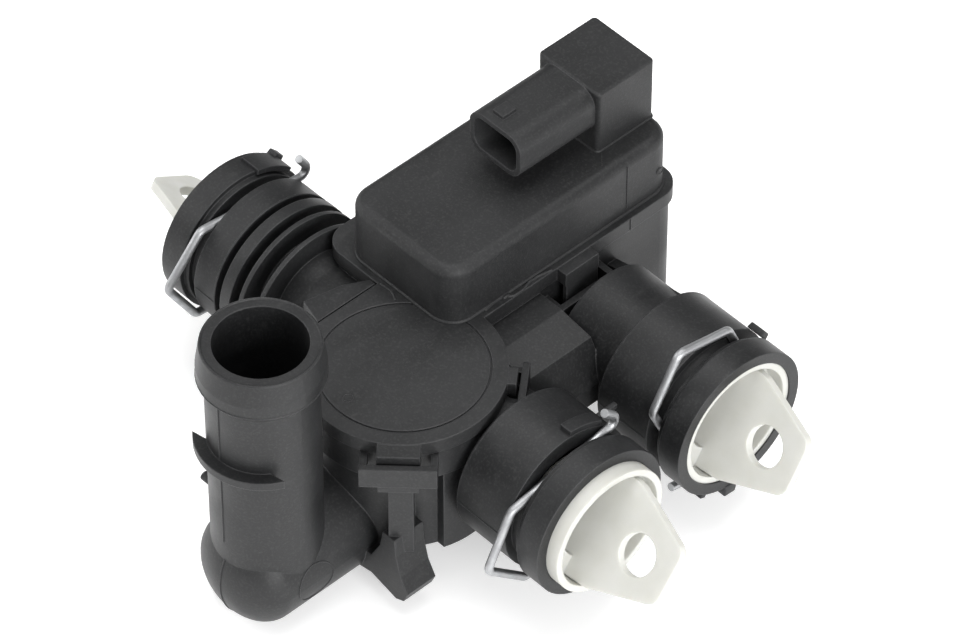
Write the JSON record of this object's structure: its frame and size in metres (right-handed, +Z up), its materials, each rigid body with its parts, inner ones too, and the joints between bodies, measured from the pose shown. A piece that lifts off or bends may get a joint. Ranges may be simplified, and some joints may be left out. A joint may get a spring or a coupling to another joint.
{
  "type": "electric coolant diverter valve",
  "caption": "Moulded coolant diverter valve with one upright hose spigot, quick-connect sockets held by wire clips, and a motor actuator with a top plug socket.",
  "frame": {"origin": "on the rotor axis, in the flat underside of the valve chamber", "axes": "+Z up along the rotor and the hose spigot, +X out of the front and rear sockets, +Y along the actuator box away from the spigot"},
  "size_m": [0.1317, 0.114, 0.0661],
  "materials": {
    "body_nylon": "satin moulded black",
    "plate_nylon": "satin moulded black",
    "cover_nylon": "fine-grain moulded black",
    "tinned_contact": "tin-plated",
    "seal_rubber": "matt moulded rubber",
    "board_laminate": "solder-masked laminate",
    "component_black": "moulded",
    "zinc_steel": "zinc-plated",
    "bright_steel": "ground",
    "spring_wire": "drawn stainless wire",
    "armature_steel": "stacked laminations",
    "ferrite": "sintered",
    "brush_brass": "turned",
    "white_acetal": "moulded acetal",
    "dark_acetal": "moulded acetal",
    "rotor_plastic": "glass-filled moulding",
    "plug_polyethylene": "milky soft polyethylene"
  },
  "bodies": {
    "housing": {"valve_body": "body_nylon", "actuator_plate": "plate_nylon", "actuator_cover": "cover_nylon", "connector_pins": "tinned_contact", "rim_gasket": "seal_rubber", "circuit_board": "board_laminate", "board_parts": "component_black", "motor_pad": "seal_rubber", "motor_can": "zinc_steel", "motor_end_cap": "white_acetal", "motor_terminals": "tinned_contact", "motor_magnets": "ferrite", "motor_brushes": "brush_brass", "gear_a_axle": "bright_steel", "gear_b_axle": "bright_steel", "gear_c_axle": "bright_steel", "seal_liner": "seal_rubber", "thrust_washer": "white_acetal", "chamber_cover": "rotor_plastic", "chamber_oring": "seal_rubber", "shaft_bush": "brush_brass", "shaft_seal": "seal_rubber", "oring_front": "seal_rubber", "oring_rear": "seal_rubber", "oring_left": "seal_rubber"},
    "rotor_set": {"rotor": "rotor_plastic", "output_gear": "dark_acetal", "gear_screw": "zinc_steel"},
    "third_gear": {"gear_c": "dark_acetal"},
    "second_gear": {"gear_b": "white_acetal"},
    "first_gear": {"gear_a": "white_acetal"},
    "motor_rotor": {"motor_armature": "armature_steel", "motor_shaft": "bright_steel", "motor_pinion": "brush_brass"},
    "clip_front_body": {"clip_front": "spring_wire"},
    "plug_front_body": {"plug_front": "plug_polyethylene"},
    "clip_rear_body": {"clip_rear": "spring_wire"},
    "plug_rear_body": {"plug_rear": "plug_polyethylene"},
    "clip_left_body": {"clip_left": "spring_wire"},
    "plug_left_body": {"plug_left": "plug_polyethylene"}
  },
  "joints": [
    {"name": "motor_spin", "type": "hinge", "parent": "housing", "child": "motor_rotor", "pos_m": [-0.01412, 0.05253, 0], "axis": [0, 0, 1], "range_deg": [0, 3366.3]},
    {"name": "first_gear_spin", "type": "hinge", "parent": "housing", "child": "first_gear", "pos_m": [-0.01362, 0.03814, 0], "axis": [0, 0, 1], "range_deg": [-1297, 2]},
    {"name": "second_gear_spin", "type": "hinge", "parent": "housing", "child": "second_gear", "pos_m": [-0.01338, 0.02454, 0], "axis": [0, 0, 1], "range_deg": [-2, 542]},
    {"name": "third_gear_spin", "type": "hinge", "parent": "housing", "child": "third_gear", "pos_m": [-0.00948, 0.01577, 0], "axis": [0, 0, 1], "range_deg": [-388, 2]},
    {"name": "rotor_turn", "type": "hinge", "parent": "housing", "child": "rotor_set", "pos_m": [0, 0, 0], "axis": [0, 0, 1], "range_deg": [-0.2, 136.2]},
    {"name": "clip_front_pull", "type": "slide", "parent": "housing", "child": "clip_front_body", "axis": [0, -0.9848, -0.1736], "range_m": [0, 0.0032]},
    {"name": "plug_front_pull", "type": "slide", "parent": "housing", "child": "plug_front_body", "axis": [1, 0, 0], "range_m": [0, 0.02]},
    {"name": "clip_rear_pull", "type": "slide", "parent": "housing", "child": "clip_rear_body", "axis": [0, -0.4067, 0.9135], "range_m": [0, 0.0032]},
    {"name": "plug_rear_pull", "type": "slide", "parent": "housing", "child": "plug_rear_body", "axis": [1, 0, 0], "range_m": [0, 0.02]},
    {"name": "clip_left_pull", "type": "slide", "parent": "housing", "child": "clip_left_body", "axis": [0, -0.9945, 0.1045], "range_m": [0, 0.0032]},
    {"name": "plug_left_pull", "type": "slide", "parent": "housing", "child": "plug_left_body", "axis": [-1, 0, 0], "range_m": [0, 0.02]}
  ],
  "couplings": [
    {"joint": "first_gear_spin", "follows": "motor_spin", "ratio": -0.38462},
    {"joint": "second_gear_spin", "follows": "motor_spin", "ratio": 0.16026},
    {"joint": "third_gear_spin", "follows": "motor_spin", "ratio": -0.11447},
    {"joint": "rotor_turn", "follows": "motor_spin", "ratio": 0.040401}
  ]
}
